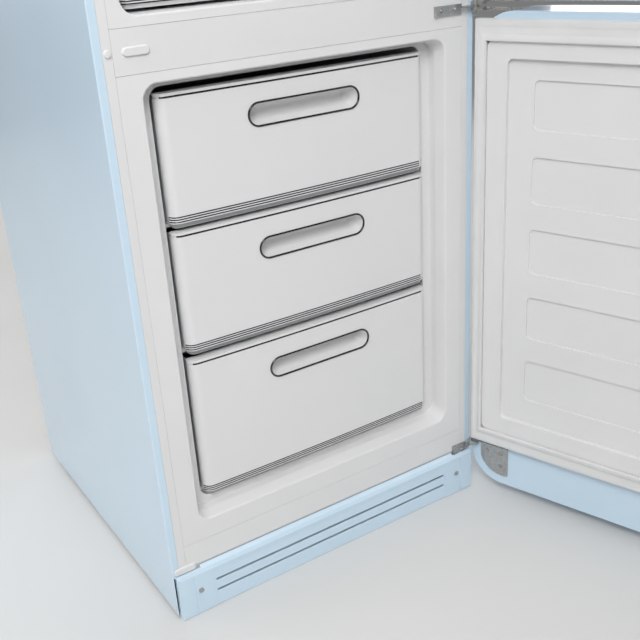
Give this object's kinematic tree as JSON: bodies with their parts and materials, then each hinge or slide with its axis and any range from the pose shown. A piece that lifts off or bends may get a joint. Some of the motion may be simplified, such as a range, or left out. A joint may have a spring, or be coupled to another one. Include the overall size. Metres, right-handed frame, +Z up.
{
  "type": "bottom freezer refrigerator",
  "caption": "Free-standing retro fridge-freezer with a tall upper fridge, a lower freezer with pull-out drawers, and two right-hung bowed doors shown open.",
  "frame": {"origin": "on the floor, in the middle of the ground the object covers with both doors open, 150 mm right of the cabinet's middle and 28 mm behind its front face", "axes": "+X to the right seen from the front, +Y to the back, +Z up"},
  "size_m": [0.9003, 1.2034, 1.96],
  "materials": {
    "blue_enamel": "gloss pale blue enamel on steel sheet",
    "white_liner": "thermoformed white plastic, satin gloss",
    "white_trim": "white moulded trim",
    "drawer_white": "white moulded plastic, faint haze",
    "clear_tub": "pale translucent moulded plastic",
    "clear_bin": "clear moulded plastic",
    "foam": "rigid insulating foam",
    "gasket": "soft light grey magnetic seal",
    "steel": "plain stamped steel",
    "galvanised": "galvanised sheet",
    "chrome": "polished chrome plate",
    "black_paint": "black enamel",
    "black_plastic": "black moulded plastic",
    "grey_plastic": "grey moulded plastic",
    "glass": "tempered glass with white edge trims",
    "black_rubber": "black rubber",
    "lens": "frosted lamp lens"
  },
  "bodies": {
    "cabinet": {"back_panel": "galvanised", "base_plate": "galvanised", "blanking_caps": "white_trim", "bottle_rack": "chrome", "compressor": "black_paint", "compressor_feet": "black_rubber", "condenser": "black_paint", "crisper_cover": "glass", "drip_tray": "black_plastic", "evaporator_cover": "white_liner", "freezer_liner": "white_liner", "fridge_liner": "white_liner", "front_screws": "steel", "hinge_bracket_bottom": "steel", "hinge_bracket_middle": "steel", "hinge_bracket_top": "steel", "insulation": "foam", "lamp_lens": "lens", "lower_rail": "white_trim", "mullion_cover": "white_trim", "plinth": "blue_enamel", "shelf_1": "glass", "shelf_2": "glass", "side_panel_left": "blue_enamel", "side_panel_right": "blue_enamel", "side_trims": "white_trim", "terminal_box": "black_plastic", "top_panel": "blue_enamel"},
    "lower_door": {"lower_door_foam": "foam", "lower_door_gasket": "gasket", "lower_door_handle": "chrome", "lower_door_hinge_plates": "steel", "lower_door_liner": "white_liner", "lower_door_screws": "steel", "lower_door_skin": "blue_enamel"},
    "upper_door": {"upper_door_bin_1": "clear_bin", "upper_door_bin_2": "clear_bin", "upper_door_bin_3": "clear_bin", "upper_door_foam": "foam", "upper_door_gasket": "gasket", "upper_door_handle": "chrome", "upper_door_hinge_plates": "steel", "upper_door_liner": "white_liner", "upper_door_screws": "steel", "upper_door_skin": "blue_enamel"},
    "crisper": {"crisper_front": "drawer_white", "crisper_tub": "clear_tub"},
    "knob": {"thermostat_knob": "grey_plastic"},
    "rollers": {"rear_rollers": "black_plastic"},
    "foot_l": {"foot_left": "black_plastic"},
    "foot_r": {"foot_right": "black_plastic"},
    "drawer_1": {"drawer_1_front": "drawer_white", "drawer_1_pull": "drawer_white", "drawer_1_tub": "clear_tub"},
    "drawer_2": {"drawer_2_front": "drawer_white", "drawer_2_pull": "drawer_white", "drawer_2_tub": "clear_tub"},
    "drawer_3": {"drawer_3_front": "drawer_white", "drawer_3_pull": "drawer_white", "drawer_3_tub": "clear_tub"}
  },
  "joints": [
    {"name": "lower_door_hinge", "type": "hinge", "parent": "cabinet", "child": "lower_door", "pos_m": [0.1476, -0.0348, 0.5], "axis": [0, 0, 1], "range_deg": [-107.7, 12]},
    {"name": "upper_door_hinge", "type": "hinge", "parent": "cabinet", "child": "upper_door", "pos_m": [0.1476, -0.0348, 1.4], "axis": [0, 0, 1], "range_deg": [-107.7, 12]},
    {"name": "drawer_1_slide", "type": "slide", "parent": "cabinet", "child": "drawer_1", "axis": [0, -1, 0], "range_m": [0, 0.27]},
    {"name": "drawer_2_slide", "type": "slide", "parent": "cabinet", "child": "drawer_2", "axis": [0, -1, 0], "range_m": [0, 0.36]},
    {"name": "drawer_3_slide", "type": "slide", "parent": "cabinet", "child": "drawer_3", "axis": [0, -1, 0], "range_m": [0, 0.36]},
    {"name": "crisper_slide", "type": "slide", "parent": "cabinet", "child": "crisper", "axis": [0, -1, 0], "range_m": [0, 0.33]},
    {"name": "thermostat_turn", "type": "hinge", "parent": "cabinet", "child": "knob", "pos_m": [0, 0.262, 1.816], "axis": [0, 0, -1], "range_deg": [0, 270]},
    {"name": "rollers_spin", "type": "hinge", "parent": "cabinet", "child": "rollers", "pos_m": [-0.15, 0.522, 0.022], "axis": [1, 0, 0], "continuous": true},
    {"name": "foot_l_turn", "type": "hinge", "parent": "cabinet", "child": "foot_l", "pos_m": [-0.412, 0.012, 0.02], "axis": [0, 0, 1], "continuous": true},
    {"name": "foot_r_turn", "type": "hinge", "parent": "cabinet", "child": "foot_r", "pos_m": [0.112, 0.012, 0.02], "axis": [0, 0, 1], "continuous": true}
  ]
}
